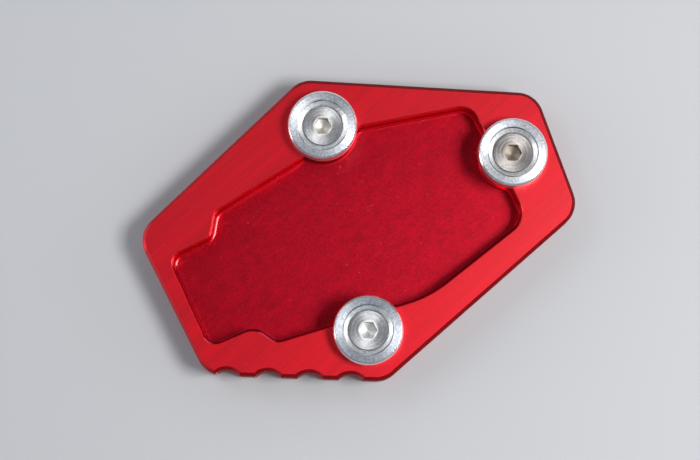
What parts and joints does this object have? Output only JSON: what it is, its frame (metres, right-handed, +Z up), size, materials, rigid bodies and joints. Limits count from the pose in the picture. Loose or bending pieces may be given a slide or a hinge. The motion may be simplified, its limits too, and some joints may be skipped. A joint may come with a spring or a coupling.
{
  "type": "kickstand foot enlarger",
  "caption": "Flat angular plate with a shaped pocket for a side stand's foot, clamped by round countersunk washers and socket screws, which spreads the load on soft ground.",
  "frame": {"origin": "middle of the plate's outline, on its flat underside", "axes": "+X along the scalloped front edge, towards the right tip; +Y from the scalloped edge to the back edge; +Z up, out of the pocket"},
  "size_m": [0.1122, 0.078, 0.014],
  "materials": {
    "plate_red": "machined and red anodised, satin",
    "washer_bright": "bright turned, plain",
    "screw_steel": "plain stainless, faced head"
  },
  "bodies": {
    "root": {"base_plate": "plate_red", "clamp_washer_back": "washer_bright", "clamp_washer_right": "washer_bright", "clamp_washer_front": "washer_bright", "clamp_screws": "screw_steel"}
  },
  "joints": []
}
